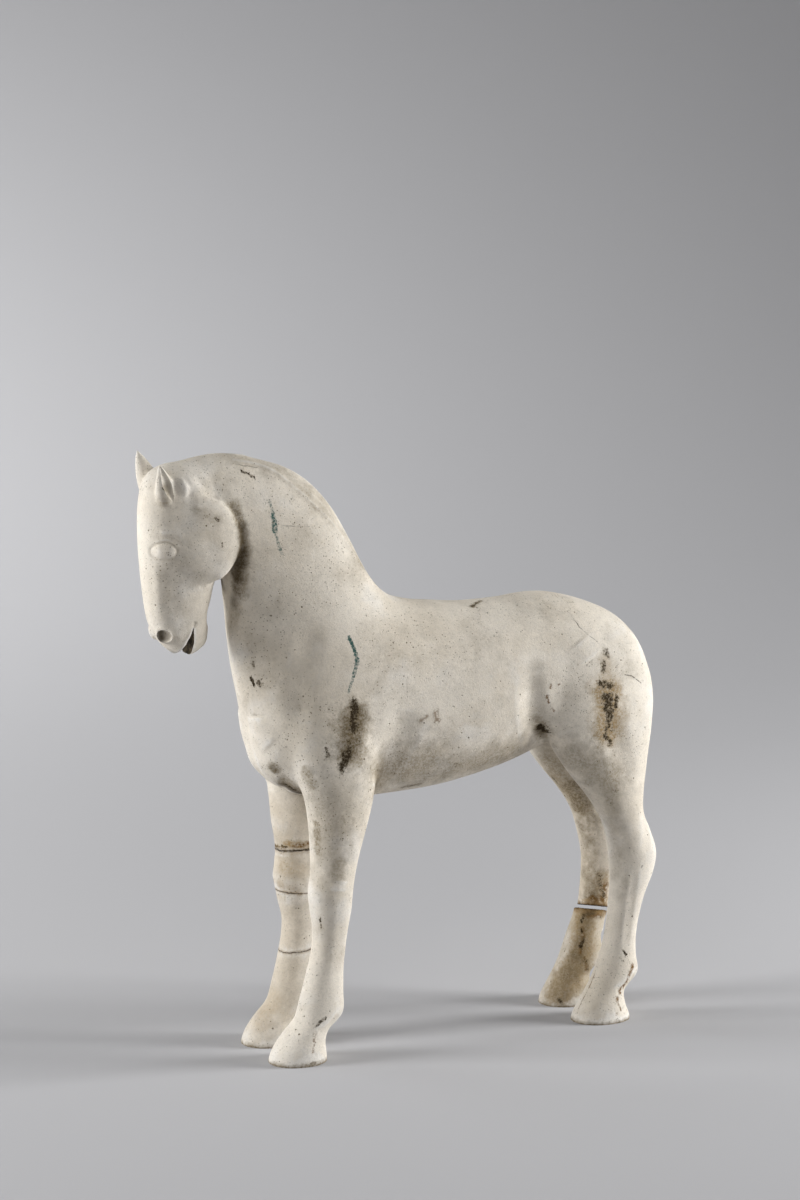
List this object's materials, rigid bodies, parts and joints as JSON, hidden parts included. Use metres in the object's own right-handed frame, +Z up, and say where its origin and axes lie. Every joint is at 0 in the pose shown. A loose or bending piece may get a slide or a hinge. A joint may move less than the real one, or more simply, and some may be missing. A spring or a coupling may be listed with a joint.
{
  "type": "pottery horse figure",
  "caption": "Standing pottery horse with a white slip, a slot along the crest for a lost mane, repaired foreleg and a broken right hind leg whose lower part stands free.",
  "frame": {"origin": "middle of the length and of the width, on the plane of the soles", "axes": "the horse faces -X, its left side is towards -Y, +Z is up"},
  "size_m": [0.5098, 0.1221, 0.5598],
  "materials": {
    "white_slip": "matt white slip over fired clay, with soil stains",
    "worn_slip": "worn matt slip with brown soil stains"
  },
  "bodies": {
    "root": {"horse": "white_slip", "broken_hind_hoof": "worn_slip"}
  },
  "joints": []
}
